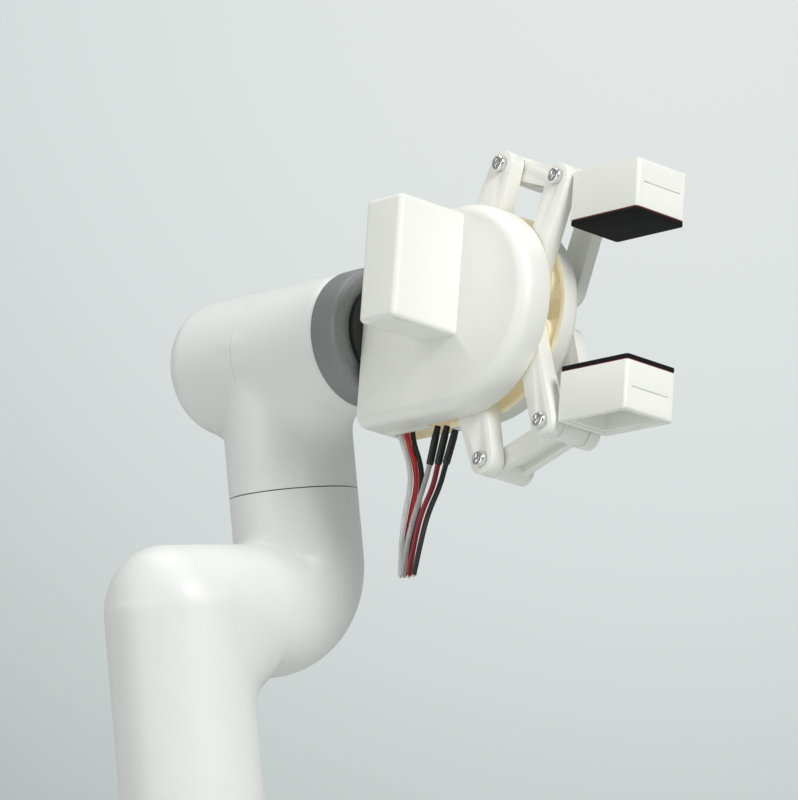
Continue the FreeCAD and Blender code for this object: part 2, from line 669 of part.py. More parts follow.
def tapered(p, q, rp, rq, y0, y1):
    """A link plate: two round ends joined by their outer tangents. p and q are (x, z)."""
    dx, dz = q[0] - p[0], q[1] - p[1]
    apart = math.hypot(dx, dz)
    heading = math.atan2(dz, dx)
    spread = math.acos((rp - rq) / apart)
    corners = []
    for centre, radius, sign in ((p, rp, 1), (q, rq, 1), (q, rq, -1), (p, rp, -1)):
        angle = heading + sign * spread
        x, z = centre[0] + radius * math.cos(angle), centre[1] + radius * math.sin(angle)
        corners.append(FreeCAD.Vector(x, y0, z))
    web = Part.Face(Part.makePolygon(corners + corners[:1])).extrude(FreeCAD.Vector(0, y1 - y0, 0))
    ends = [Part.makeCylinder(r, y1 - y0, FreeCAD.Vector(c[0], y0, c[1]), FreeCAD.Vector(0, 1, 0))
            for c, r in ((p, rp), (q, rq))]
    return web.fuse(ends).removeSplitter()


def involute_flank(base, tip, root, phase, side, backlash):
    """Points of one tooth flank from root to tip, as (radius, angle)."""
    pitch = D["gear_pitch"]
    teeth = 2 * pitch / D["gear_module"]
    pitch_angle = math.sqrt((pitch / base) ** 2 - 1) - math.acos(base / pitch)
    half_tooth = math.pi / (2 * teeth) - backlash / (2 * pitch)
    points = [(root, phase + side * (half_tooth + pitch_angle))]
    steps = 5
    start = max(base, root)
    for n in range(steps):
        radius = start + (tip - start) * n / (steps - 1)
        roll = math.sqrt(max((radius / base) ** 2 - 1, 0)) - math.acos(min(base / radius, 1))
        points.append((radius, phase + side * (half_tooth + pitch_angle - roll)))
    return points


def sector_gear(centre, first, last, phase_angle, y0, y1):
    """A toothed sector about a pivot, from one angle to another, with a tooth centred on the phase angle."""
    pitch, module = D["gear_pitch"], D["gear_module"]
    base, tip, root = pitch * math.cos(math.radians(20)), pitch + 0.95 * module, pitch - 1.3 * module
    step = 2 * math.pi * module / (2 * pitch)
    outline = [FreeCAD.Vector(centre[0], y0, centre[1])]
    count_low = math.ceil((first - phase_angle) / step)
    count_high = math.floor((last - phase_angle) / step)
    for n in range(count_low, count_high + 1):
        phase = phase_angle + n * step
        near = involute_flank(base, tip, root, phase, -1, 0.16)
        far = involute_flank(base, tip, root, phase, 1, 0.16)
        for radius, angle in near + far[::-1]:
            x, z = centre[0] + radius * math.cos(angle), centre[1] + radius * math.sin(angle)
            outline.append(FreeCAD.Vector(x, y0, z))
    return Part.Face(Part.makePolygon(outline + outline[:1])).extrude(FreeCAD.Vector(0, y1 - y0, 0))


def bored(shape, point, radius, y0, y1):
    start = FreeCAD.Vector(point[0], y0 - 2, point[1])
    return shape.cut(Part.makeCylinder(radius, y1 - y0 + 4, start, FreeCAD.Vector(0, 1, 0)))


def mirrored(shape):
    """The lower side's copy of an upper side's shape."""
    return shape.mirror(FreeCAD.Vector(), FreeCAD.Vector(0, 0, 1))


def gripper_links():
    drive, follow, outer_drive, outer_follow = pivots()
    y0, y1 = D["link_front"], D["link_back"]
    pitch_step = math.pi * D["gear_module"] / D["gear_pitch"]
    for side, name in ((1, "upper"), (-1, "lower")):
        # the two sectors mesh on the mid plane: a tooth of the upper one meets a gap of the lower one
        phase = math.radians(-90) + (0 if side > 0 else pitch_step / 2)
        sector = sector_gear(drive, math.radians(-104), math.radians(-24), phase, y0 + 0.5, y1 - 0.5)
        plate = tapered(drive, outer_drive, 8.5, 5, y0, y1).fuse(sector)
        plate = bored(bored(plate, drive, 2.5 + D["fit_gap"], y0, y1), outer_drive, 1.6, y0, y1)
        in_gripper(solid(plate if side > 0 else mirrored(plate)), f"{name}_drive_arm")

        front = bored(tapered(follow, outer_follow, 4.7, 4.9, y0, y1), outer_follow, 1.6, y0, y1)
        r0, r1 = D["rear_plate"], D["rear_plate"] + D["rear_plate_thick"]
        rear = bored(tapered(follow, outer_follow, 5.4, 5.2, r0, r1), outer_follow, 2.1, r0, r1)
        start = FreeCAD.Vector(follow[0], y1 - 1, follow[1])
        shaft = Part.makeCylinder(3, r0 - y1 + 2, start, FreeCAD.Vector(0, 1, 0))
        both = front.fuse([rear, shaft])
        in_gripper(solid(both if side > 0 else mirrored(both)), f"{name}_follower_link")


def boxed(low, high):
    return Part.makeBox(*(b - a for a, b in zip(low, high)), FreeCAD.Vector(*low))


def soft_box(low, high, radius, pick):
    made = boxed(low, high)
    return made.makeFillet(radius, [edge for edge in made.Edges if pick(edge)])


def gripper_fingers():
    _, _, p1, p2 = pivots()
    y0, y1, boss = D["finger_front"], D["finger_rear"], D["pivot_boss"]
    x0, x1 = D["jaw_x"], D["jaw_x"] + D["jaw_long"]
    j0, j1, low, high = D["jaw_y"], D["jaw_y"] + D["jaw_wide"], D["jaw_low"], D["jaw_high"]
    along_y = FreeCAD.Vector(0, 1, 0)

    def corner(edge):
        bounds = edge.BoundBox
        return bounds.ZLength > 5 or (bounds.XMin > x1 - 0.1 and bounds.ZMin > high - 0.1)
    box = soft_box((x0, j0, low), (x1, j1, high), 1.2, corner)
    recess = soft_box((x0 + 3.5, j0 + 3.5, low + 4), (x1 - 3.5, j1 - 3.5, high + 1), 1.5,
                      lambda e: e.BoundBox.ZLength > 5)
    lip = boxed((x0 + 2.2, j0 + 2.2, high - 0.7), (x1 - 2.2, j1 - 2.2, high + 1))
    groove = boxed((x1 - 0.5, j0 + 3, (low + high) / 2 + 0.2), (x1 + 1, j1 - 3, (low + high) / 2 + 0.6))
    rails = [tapered(p1, p2, 3.6, 3.6, a, b) for a, b in ((y0, y0 + 3), (y1 - 3, y1))]
    web = tapered(p1, p2, 1.2, 1.2, y0 + 1, y1 - 1)
    bosses = [Part.makeCylinder(boss, y1 - y0 + more, FreeCAD.Vector(p[0], y0, p[1]), along_y)
              for p, more in ((p1, 2.4), (p2, 0))]
    neck = boxed((p2[0] + 2, y0, p2[1] - 9.5), (x0 + 1, y1, p2[1] - 0.5))
    stub = Part.makeCylinder(2, 4.4, FreeCAD.Vector(p2[0], y1 - 0.5, p2[1]), along_y)
    finger = box.cut(recess).cut(lip).cut(groove).fuse(rails + [web, neck, stub] + bosses)
    for p in (p1, p2):
        finger = finger.cut(Part.makeCylinder(1.5, 9, FreeCAD.Vector(p[0], y0 - 0.5, p[1]), along_y))
    pad = soft_box((x0 + 0.2, j0 + 0.1, low - D["pad_thick"]), (x1 - 0.1, j1 - 0.1, low), 1.2,
                   lambda e: e.BoundBox.ZLength > 1)
    screws = []
    for p in (p1, p2):
        head_y = D["link_front"] - 0.2
        cap = Part.makeCylinder(2.7, 1.9, FreeCAD.Vector(p[0], head_y - 1.9, p[1]), along_y)
        cap = cap.makeFillet(0.8, [edge for edge in cap.Edges if edge.BoundBox.YMax < head_y - 1.8])
        shank = Part.makeCylinder(1.48, 13.5, FreeCAD.Vector(p[0], head_y - 0.3, p[1]), along_y)
        slots = [boxed((p[0] - a, head_y - 2.5, p[1] - b), (p[0] + a, head_y - 0.9, p[1] + b))
                 for a, b in ((1.6, 0.35), (0.35, 1.6))]
        screws.append(cap.fuse(shank).cut(slots[0]).cut(slots[1]))
    parts = ((finger, "finger"), (pad, "finger_pad"), (Part.makeCompound(screws), "pivot_screws"))
    for side, name in ((1, "upper"), (-1, "lower")):
        for shape, part in parts:
            in_gripper(solid(shape if side > 0 else mirrored(shape)), f"{name}_{part}")


# ---------------------------------------------------------------- leads
def route_path(points):
    """Straight runs joined by tangent arcs, each arc as large as its two runs allow."""
    parts = []
    start = points[0]
    for before, here, after in zip(points, points[1:], points[2:]):
        into, out = (here - before), (after - here)
        reach = 0.45 * min(into.Length, out.Length)
        into.normalize()
        out.normalize()
        half_turn = into.getAngle(out) / 2
        radius = reach / math.tan(half_turn)
        first, last = here - into * reach, here + out * reach
        inward = out - into
        inward.normalize()
        middle = here + inward * (radius / math.cos(half_turn) - radius)
        parts.append(Part.LineSegment(start, first).toShape())
        parts.append(Part.Arc(first, middle, last).toShape())
        start = last
    parts.append(Part.LineSegment(start, points[-1]).toShape())
    return Part.Wire(parts)


def tube(points, radius):
    section = Part.Wire(Part.Circle(points[0], points[1] - points[0], radius).toShape())
    return route_path(points).makePipeShell([section], True, False)


# Each lead leaves the case's underside and hangs. Points are (x, y, z) in the gripper's frame.
LEADS = {
    "lead_white_a": ((59.2, 4.2, -32.2), (60.6, 4.3, -37.7), (64.3, 5.4, -45.9), (64.3, 6.8, -53.3),
                     (61, 8, -62.4), (59.6, 8.5, -73.3), (60.2, 8.7, -84.2)),
    "lead_red_a": ((61, 5.5, -32.2), (62.2, 5.6, -37.6), (65.1, 7.2, -45.6), (65.2, 8.8, -52.8),
                   (61.7, 10.1, -62), (59.6, 10.8, -72.8), (59.8, 11, -83.6)),
    "lead_black_a": ((62.2, 7.4, -32.1), (63.1, 7.4, -37.5), (66.1, 9, -45.6), (65.7, 10.8, -52.6),
                     (62.4, 12.2, -61.7), (60, 12.9, -72.4), (59.6, 13.1, -83.2)),
    "lead_white_b": ((74.5, 8, -33.7), (73.3, 8, -39.2), (72.1, 7.6, -47.5), (70.3, 7, -55.4),
                     (66.7, 6.6, -65.5), (64.6, 6.3, -75.8), (64.4, 6.2, -85.2)),
    "lead_red_b": ((77.8, 9.2, -33.9), (76.4, 9.2, -39.2), (75, 8.6, -47.7), (74.6, 7.6, -55.2),
                   (71.3, 5.9, -64.4), (69.8, 5, -75.5), (68.5, 4.7, -85.9)),
    "lead_black_b": ((81.2, 10.4, -34.1), (79.6, 10.4, -39.5), (77.7, 9.6, -48.2), (77.4, 8.2, -55.1),
                     (75.4, 5.2, -65.3), (74.2, 3.8, -76.4), (72.7, 3.3, -86.5)),
}


def leads():
    for name, points in LEADS.items():
        route = [FreeCAD.Vector(*p) for p in points]
        in_gripper(solid(tube(route, D["wire_rad"])), name)


# ---------------------------------------------------------------- build
base()
shoulder()
upper_arm()
forearm()
wrist_elbow()
tool_housing()
flange()
front_shell()
rear_shell()
gripper_servo()
gripper_links()
gripper_fingers()
leads()
doc.recompute()

for thing in doc.Objects:
    if "Invalid" in thing.State or "Error" in thing.State:
        raise ValueError(f"{thing.Name} ({thing.Label}) failed: {thing.State}")
os.makedirs("parts", exist_ok=True)
for thing in NODES:
    shape = thing.Shape
    if shape.isNull() or not shape.isValid() or not shape.Solids:
        raise ValueError(f"{thing.Label} has no valid solid")
    shape.exportStep(os.path.join("parts", f"{thing.Label}.step"))
print(len(NODES), "parts written")
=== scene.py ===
import bmesh
import bpy
import json
import math
import numpy as np
from mathutils import Matrix, Vector


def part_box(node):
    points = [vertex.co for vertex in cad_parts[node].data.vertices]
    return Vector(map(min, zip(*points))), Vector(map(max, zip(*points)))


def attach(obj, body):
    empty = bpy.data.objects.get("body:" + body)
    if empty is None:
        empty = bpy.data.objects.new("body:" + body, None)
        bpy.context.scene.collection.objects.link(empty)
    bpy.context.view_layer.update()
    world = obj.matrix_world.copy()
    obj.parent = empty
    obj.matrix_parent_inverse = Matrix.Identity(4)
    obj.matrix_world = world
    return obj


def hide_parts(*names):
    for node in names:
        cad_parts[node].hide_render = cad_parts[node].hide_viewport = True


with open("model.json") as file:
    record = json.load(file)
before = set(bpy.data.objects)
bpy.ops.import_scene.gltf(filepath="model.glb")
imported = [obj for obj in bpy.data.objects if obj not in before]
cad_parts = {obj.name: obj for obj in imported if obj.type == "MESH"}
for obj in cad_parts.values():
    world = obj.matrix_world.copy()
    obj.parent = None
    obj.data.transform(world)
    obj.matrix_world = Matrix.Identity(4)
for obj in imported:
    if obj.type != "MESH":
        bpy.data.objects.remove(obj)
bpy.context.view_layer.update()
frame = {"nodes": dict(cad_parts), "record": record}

# Places repeated from the CAD design, in metres.
ARM_OFFSET = 0.059       # sideways step from the forearm to the upper arm and wrist
SHOULDER_Z = 0.135
ELBOW_Z = 0.252
WRIST_Z = 0.361
TOOL_Z = 0.450
GRIP_TURN = -12.5        # degrees about the tool axis
GRIPPER = Matrix.Translation((0, ARM_OFFSET, TOOL_Z)) @ Matrix.Rotation(math.radians(GRIP_TURN), 4, "X")


# ---------------------------------------------------------------- camera
AZIMUTH, ELEVATION, ROLL = 46.1, -6.5, -5.2     # degrees
DISTANCE = 1.854
TARGET = Vector((0.0260, 0.0890, 0.4317))
LENS, SENSOR = 238.3, 36.0                      # millimetres


def camera():
    az, el, roll = (math.radians(a) for a in (AZIMUTH, ELEVATION, ROLL))
    back = Vector((math.sin(az) * math.cos(el), -math.cos(az) * math.cos(el), math.sin(el)))
    level_right = (-back).cross(Vector((0, 0, 1))).normalized()
    level_up = level_right.cross(-back)
    right = level_right * math.cos(roll) + level_up * math.sin(roll)
    up = level_up * math.cos(roll) - level_right * math.sin(roll)
    data = bpy.data.cameras.new("camera")
    data.lens, data.sensor_width = LENS, SENSOR
    data.clip_end = 20
    made = bpy.data.objects.new("camera", data)
    bpy.context.scene.collection.objects.link(made)
    turn = Matrix((right, up, back)).transposed().to_4x4()
    made.matrix_world = Matrix.Translation(TARGET + back * DISTANCE) @ turn
    bpy.context.scene.camera = made


camera()


# ---------------------------------------------------------------- node helpers
class Nodes:
    """A material's node tree with short calls for what these materials share."""

    def __init__(self, name):
        self.material = bpy.data.materials.new(name)
        self.material.use_nodes = True
        self.tree = self.material.node_tree
        self.shader = self.tree.nodes["Principled BSDF"]
        self.place = self.add("ShaderNodeTexCoord").outputs["Object"]

    def add(self, kind, **settings):
        node = self.tree.nodes.new(kind)
        for key, value in settings.items():
            setattr(node, key, value)
        return node

    def link(self, source, target):
        self.tree.links.new(source, target)

    def stretched(self, scale):
        mapping = self.add("ShaderNodeMapping")
        mapping.inputs["Scale"].default_value = scale
        self.link(self.place, mapping.inputs["Vector"])
        return mapping.outputs["Vector"]

    def noise(self, scale, detail=3.0, place=None):
        node = self.add("ShaderNodeTexNoise")
        node.inputs["Scale"].default_value = scale
        node.inputs["Detail"].default_value = detail
        self.link(place or self.place, node.inputs["Vector"])
        return node.outputs["Fac"]

    def ramp(self, value, stops):
        node = self.add("ShaderNodeValToRGB")
        band = node.color_ramp
        while len(band.elements) < len(stops):
            band.elements.new(0.5)
        for element, (position, colour) in zip(band.elements, stops):
            element.position = position
            element.color = (*colour, 1)
        self.link(value, node.inputs["Fac"])
        return node.outputs["Color"]

    def spread(self, value, low, high):
        node = self.add("ShaderNodeMapRange")
        node.inputs["From Min"].default_value = 0.3
        node.inputs["From Max"].default_value = 0.7
        node.inputs["To Min"].default_value = low
        node.inputs["To Max"].default_value = high
        self.link(value, node.inputs["Value"])
        return node.outputs["Result"]

    def bump(self, value, strength, height, under=None):
        node = self.add("ShaderNodeBump")
        node.inputs["Strength"].default_value = strength
        node.inputs["Distance"].default_value = height
        self.link(value, node.inputs["Height"])
        if under:
            self.link(under, node.inputs["Normal"])
        return node.outputs["Normal"]


def tint(colour, factor):
    return tuple(min(1.0, c * factor) for c in colour)


def moulded(name, colour, rough, drift=0.03, grain=0.3, coat=0.0, glow=0.0, painted_glow=0.0):
    """Moulded plastic: slow drift of tone, faint flow marks and fine spark-eroded grain.

    glow is light spread within it, and the last argument sets emission: a painted glow that stands in for
    light let through its thin walls."""
    n = Nodes(name)
    tones = [(0.3, tint(colour, 1 - drift)), (0.7, tint(colour, 1 + drift))]
    n.link(n.ramp(n.noise(28, 2), tones), n.shader.inputs["Base Color"])
    n.link(n.spread(n.noise(160, 4), rough - 0.05, rough + 0.06), n.shader.inputs["Roughness"])
    fine = n.bump(n.noise(2600, 2), grain, 0.00006)
    n.link(n.bump(n.noise(45, 2), 0.12, 0.0003, fine), n.shader.inputs["Normal"])
    n.shader.inputs["Coat Weight"].default_value = coat
    n.shader.inputs["Subsurface Weight"].default_value = glow
    n.shader.inputs["Subsurface Radius"].default_value = (0.004, 0.0035, 0.0025)
    n.shader.inputs["Emission Color"].default_value = (*colour, 1)
    # Emission: a painted glow, off unless the last argument is given.
    n.shader.inputs["Emission Strength"].default_value = painted_glow
    return n.material


def metal(name, colour, rough, stretch, streak=0.35, metallic=1.0):
    """Machined or plated metal: fine tool marks along one direction, with small changes of gloss."""
    n = Nodes(name)
    marks = n.noise(420, 6, n.stretched(stretch))
    tones = [(0.3, tint(colour, 0.9)), (0.7, tint(colour, 1.08))]
    n.link(n.ramp(marks, tones), n.shader.inputs["Base Color"])
    n.link(n.spread(marks, rough - 0.06, rough + 0.08), n.shader.inputs["Roughness"])
    n.link(n.bump(marks, streak, 0.00002), n.shader.inputs["Normal"])
    n.shader.inputs["Metallic"].default_value = metallic
    return n.material


def rubber(name, colour, rough, speck=0.5):
    """Foam rubber: open grain with scattered pale dust."""
    n = Nodes(name)
    dust = n.noise(1900, 5)
    tones = [(0.0, colour), (0.70, colour), (0.80, tint(colour, 1 + 6 * speck))]
    n.link(n.ramp(dust, tones), n.shader.inputs["Base Color"])
    cells = n.add("ShaderNodeTexVoronoi")
    cells.inputs["Scale"].default_value = 2200
    n.link(n.place, cells.inputs["Vector"])
    n.link(n.bump(cells.outputs["Distance"], 0.5, 0.00012), n.shader.inputs["Normal"])
    n.link(n.spread(dust, rough - 0.08, rough + 0.08), n.shader.inputs["Roughness"])
    n.shader.inputs["Specular IOR Level"].default_value = 0.2
    return n.material


def insulation(name, colour, rough):
    """Lead insulation: smooth extruded plastic with faint draw lines and handling marks."""
    n = Nodes(name)
    lines = n.noise(900, 4, n.stretched((1, 1, 0.08)))
    tones = [(0.3, tint(colour, 0.86)), (0.7, tint(colour, 1.1))]
    n.link(n.ramp(lines, tones), n.shader.inputs["Base Color"])
    n.link(n.spread(lines, rough - 0.06, rough + 0.1), n.shader.inputs["Roughness"])
    n.link(n.bump(lines, 0.25, 0.00004), n.shader.inputs["Normal"])
    return n.material


def circuit_board():
    """Solder resist over copper tracks: angular cells with paler lines between them."""
    n = Nodes("circuit_board")
    cells = n.add("ShaderNodeTexVoronoi", distance="MANHATTAN", feature="DISTANCE_TO_EDGE")
    cells.inputs["Scale"].default_value = 260
    n.link(n.place, cells.inputs["Vector"])
    greens = [(0.0, (0.02, 0.16, 0.07)), (0.06, (0.01, 0.09, 0.04)), (0.4, (0.012, 0.11, 0.05))]
    n.link(n.ramp(cells.outputs["Distance"], greens), n.shader.inputs["Base Color"])
    n.link(n.bump(cells.outputs["Distance"], 0.3, 0.00005), n.shader.inputs["Normal"])
    n.shader.inputs["Roughness"].default_value = 0.35
    return n.material


ARM_WHITE = moulded("arm_plastic", (0.80, 0.81, 0.785), 0.42, 0.012, 0.25)
GRIP_WHITE = moulded("gripper_plastic", (0.86, 0.86, 0.81), 0.40, 0.012, 0.3, glow=0.08)
# The inside of the case is ivory, brightened by a painted glow (emission).
GRIP_IVORY_PAINTED_GLOW = moulded("inner_plastic", (0.84, 0.77, 0.56), 0.55, 0.02, 0.3, glow=0.15, painted_glow=0.16)
BLACK = moulded("black_plastic", (0.012, 0.012, 0.013), 0.45, 0.1, 0.4)
SERVO_BLACK = moulded("servo_case", (0.03, 0.03, 0.033), 0.5, 0.1, 0.5)
BUTTON_RED = moulded("button_red", (0.50, 0.02, 0.015), 0.25, 0.05, 0.1, coat=0.5)
RING_GREY = metal("flange_grey", (0.25, 0.26, 0.26), 0.5, (9, 1, 1), 0.2, metallic=0.25)
STEEL = metal("bearing_steel", (0.60, 0.61, 0.62), 0.28, (1, 1, 12))
SOCKET_METAL = metal("socket_metal", (0.58, 0.59, 0.60), 0.3, (10, 1, 1))
PLATE = metal("plate_steel", (0.05, 0.05, 0.055), 0.45, (1, 6, 1), 0.3, metallic=0.4)
SCREW = metal("chrome_screw", (0.80, 0.80, 0.79), 0.16, (1, 8, 1), 0.3)
PAD = rubber("pad_rubber", (0.006, 0.006, 0.006), 0.85)
PAD_TAPE = moulded("pad_tape", (0.14, 0.012, 0.02), 0.6, 0.1, 0.3)
FOOT = rubber("foot_rubber", (0.014, 0.014, 0.014), 0.75)
BOARD = circuit_board()
LEAD = {
    "lead_white": insulation("lead_white", (0.66, 0.66, 0.64), 0.38),
    "lead_red": insulation("lead_red", (0.55, 0.018, 0.02), 0.33),
    "lead_black": insulation("lead_black", (0.012, 0.012, 0.012), 0.35),
}
# Darker copies of the red and white insulation for the sleeved set B: painted shade.
LEAD_RED_PAINTED_SHADE = insulation("lead_red_painted_shade", (0.26, 0.014, 0.022), 0.4)
LEAD_WHITE_PAINTED_SHADE = insulation("lead_white_painted_shade", (0.42, 0.42, 0.42), 0.4)
SLEEVE = insulation("sleeve_black", (0.010, 0.010, 0.011), 0.42)
TINNED = metal("tinned_copper", (0.62, 0.55, 0.48), 0.35, (1, 1, 10))


# ---------------------------------------------------------------- mesh helpers
def linked(name, mesh, body, *materials):
    piece = bpy.data.objects.new(name, mesh)
    bpy.context.scene.collection.objects.link(piece)
    for material in materials:
        mesh.materials.append(material)
    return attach(piece, body)


def applied(piece):
    """Turns a piece's modifiers into its mesh."""
    bpy.context.view_layer.update()
    whole = piece.evaluated_get(bpy.context.evaluated_depsgraph_get())
    mesh = bpy.data.meshes.new_from_object(whole)
    mesh.name = piece.name
    piece.modifiers.clear()
    piece.data = mesh
    return piece


def smooth(mesh, degrees=32):
    mesh.shade_smooth()
    mesh.set_sharp_from_angle(angle=math.radians(degrees))


def bevelled(piece, width, degrees=35, segments=2):
    modifier = piece.modifiers.new("bevel", "BEVEL")
    modifier.width = width
    modifier.segments = segments
    modifier.limit_method = "ANGLE"
    modifier.angle_limit = math.radians(degrees)
    modifier.miter_outer = "MITER_ARC"
    return modifier


def body_name(node):
    return next(b for b, members in frame["record"]["behaviour"]["bodies"].items() if node in members)


def softened(node, width, *materials, pick=None):
    """A copy of a CAD node with its sharp edges broken. pick(centre) gives a face's material index."""
    source = frame["nodes"][node]
    mesh = source.data.copy()
    mesh.materials.clear()
    work = bmesh.new()
    work.from_mesh(mesh)
    bmesh.ops.remove_doubles(work, verts=work.verts, dist=2e-6)
    bmesh.ops.dissolve_limit(work, angle_limit=math.radians(0.6), verts=work.verts, edges=work.edges)
    work.to_mesh(mesh)
    work.free()
    piece = linked(f"{node}_shell", mesh, body_name(node), *materials)
    bevelled(piece, width)
    applied(piece)
    for face in piece.data.polygons:
        face.material_index = pick(face.center) if pick else 0
    smooth(piece.data)
    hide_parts(node)
    return piece


# ---------------------------------------------------------------- smooth skins
# A link's skin is the zero level of a distance field, so tubes that meet blend as a moulding does.
WALL = 0.0024
FINE_SEAM = 0.00002      # half the gap at the first wrist joint, which closes to a hairline
COVER_GAP = 0.0001       # between a cover and its housing
CAP_GAP = 0.0002         # between the shoulder's housing and its end cap
BARREL_GAP = 0.00018     # between the two halves of the tool housing's barrel
MERGE = 2e-5             # vertices closer than this become one


def tube(start, end, radius, rounding=0.0):
    """The distance to a straight tube with rounded end edges."""
    start = np.array(start)
    reach = np.array(end) - start
    length = np.linalg.norm(reach)
    axis = reach / length

    def field(points):
        from_start = points - start
        along = from_start @ axis
        radial = np.linalg.norm(from_start - along[:, None] * axis, axis=1) - radius + rounding
        axial = np.abs(along - length / 2) - length / 2 + rounding
        outside = np.hypot(np.maximum(radial, 0), np.maximum(axial, 0))
        return np.minimum(np.maximum(radial, axial), 0) + outside - rounding
    return field


def slope(field, points):
    """A field's direction of growth, scaled by its steepness."""
    steps = np.eye(3) * 1e-5
    return np.stack([(field(points + step) - field(points - step)) / 2e-5 for step in steps], axis=1)


def blend_of(first, second, width):
    """Joins two forms with a fillet where their surfaces cross, and none where they run side by side."""
    def field(points):
        a, b = first(points), second(points)
        facing = (slope(first, points) * slope(second, points)).sum(axis=1)
        reach = width * np.clip(1 - facing, 0, 1)
        return np.minimum(a, b) - np.maximum(reach - np.abs(a - b), 0) ** 2 / np.maximum(4 * reach, 1e-9)
    return field


def bend(centre, radius, level_tube, upright_tube):
    """A quarter turn of pipe about an X line, on its +Y and -Z side, that widens slightly on the way."""
    def field(points):
        side = points - np.array(centre)
        angle = np.clip(np.arctan2(-side[:, 2], side[:, 1]), 0, math.pi / 2)
        middle = np.stack([np.zeros(len(points)), radius * np.cos(angle), -radius * np.sin(angle)], axis=1)
        size = upright_tube + (level_tube - upright_tube) * angle / (math.pi / 2)
        return np.linalg.norm(side - middle, axis=1) - size
    return field


def either(first, second):
    return lambda points: np.minimum(first(points), second(points))


def stacked(lower, upper, height):
    """One form below a height and another above it."""
    return lambda points: np.where(points[:, 2] < height, lower(points), upper(points))


def surface_net(field, low, high, step):
    """Quads over a field's zero level, relaxed for even spacing and drawn onto the level exactly."""
    low = np.array(low)
    counts = np.ceil((np.array(high) - low) / step).astype(int) + 1
    rows = [low[k] + step * np.arange(counts[k]) for k in range(3)]
    places = np.stack(np.meshgrid(*rows, indexing="ij"), -1)
    inside = (field(places.reshape(-1, 3)) < 0).reshape(counts)
    corners = [inside[i:counts[0] - 1 + i, j:counts[1] - 1 + j, k:counts[2] - 1 + k]
               for i in (0, 1) for j in (0, 1) for k in (0, 1)]
    filled = sum(c.astype(int) for c in corners)
    mixed = (filled > 0) & (filled < 8)
    number = np.full(mixed.shape, -1)
    number[mixed] = np.arange(mixed.sum())
    points = low + (np.argwhere(mixed) + 0.5) * step
    quads = []
    for axis in range(3):
        u, v = (axis + 1) % 3, (axis + 2) % 3
        ahead = np.roll(inside, -1, axis=axis)
        crossing = inside != ahead
        crossing[tuple(slice(-1, None) if k == axis else slice(None) for k in range(3))] = False
        spots = np.argwhere(crossing)
        spots = spots[(spots[:, u] > 0) & (spots[:, v] > 0)]
        unit_u, unit_v = np.eye(3, dtype=int)[u], np.eye(3, dtype=int)[v]
        ring = np.stack([number[tuple((spots - shift).T)]
                         for shift in (unit_u + unit_v, unit_v, 0 * unit_u, unit_u)], axis=1)
        outward = inside[tuple(spots.T)]
        ring[~outward] = ring[~outward][:, ::-1]
        quads.append(ring)
    quads = np.concatenate(quads)
    quads = quads[(quads >= 0).all(axis=1)]

    def settle(turns):
        nonlocal points
        for _ in range(turns):
            growth = slope(field, points)
            points = points - growth * (field(points) / np.maximum((growth ** 2).sum(axis=1), 0.1))[:, None]
    pairs = np.concatenate([quads[:, [k, (k + 1) % 4]] for k in range(4)])
    settle(3)
    for _ in range(4):
        total, count = np.zeros_like(points), np.zeros(len(points))
        np.add.at(total, pairs[:, 0], points[pairs[:, 1]])
        np.add.at(total, pairs[:, 1], points[pairs[:, 0]])
        np.add.at(count, pairs.ravel(), 1)
        points = points * 0.4 + total / np.maximum(count, 1)[:, None] * 0.6
        settle(1)
    settle(2)
    return points, quads


def skin_mesh(name, field, low, high, step, cuts):
    """The skin inside the cuts. Each cut is a point and the direction that it clears."""
    points, quads = surface_net(field, low, high, step)
    mesh = bpy.data.meshes.new(name)
    mesh.from_pydata(points.tolist(), [], quads.tolist())
    work = bmesh.new()
    work.from_mesh(mesh)
    for point, direction in cuts:
        bmesh.ops.bisect_plane(work, geom=work.verts[:] + work.edges[:] + work.faces[:], dist=MERGE,
                               plane_co=point, plane_no=direction, clear_outer=True)
    bmesh.ops.remove_doubles(work, verts=work.verts, dist=MERGE)
    bmesh.ops.recalc_face_normals(work, faces=work.faces)
    work.to_mesh(mesh)
    work.free()
    return mesh


def skinned(name, mesh, node, edge=0.0002):
    """Thickens a skin inward into a shell and stands it for its CAD node."""
    piece = linked(name, mesh, body_name(node), ARM_WHITE)
    wall = piece.modifiers.new("wall", "SOLIDIFY")
    wall.thickness = WALL
    wall.offset = -1
    if edge:
        bevelled(piece, edge, 55)
    applied(piece)
    smooth(piece.data, 40)
    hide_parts(node)
    return piece


def window_cuts(mesh, low, high, gap):
    """Splits a skin along a cover's box. Returns the housing's mesh and the cover's mesh."""
    work = bmesh.new()
    work.from_mesh(mesh)
    for axis in range(3):
        for grow in (0, gap):
            for place, sign in ((low[axis] - grow, -1), (high[axis] + grow, 1)):
                bmesh.ops.bisect_plane(work, geom=work.verts[:] + work.edges[:] + work.faces[:], dist=2e-6,
                                       plane_co=Vector(place if k == axis else 0 for k in range(3)),
                                       plane_no=Vector(sign if k == axis else 0 for k in range(3)))

    def within(face, grow):
        centre = face.calc_center_median()
        return all(low[k] - grow < centre[k] < high[k] + grow for k in range(3))
    cover_work = work.copy()
    bmesh.ops.delete(work, geom=[f for f in work.faces if within(f, gap)], context="FACES")
    bmesh.ops.delete(cover_work, geom=[f for f in cover_work.faces if not within(f, 0)], context="FACES")
    cover = bpy.data.meshes.new(mesh.name + "_cover")
    work.to_mesh(mesh)
    cover_work.to_mesh(cover)
    work.free()
    cover_work.free()
    return mesh, cover


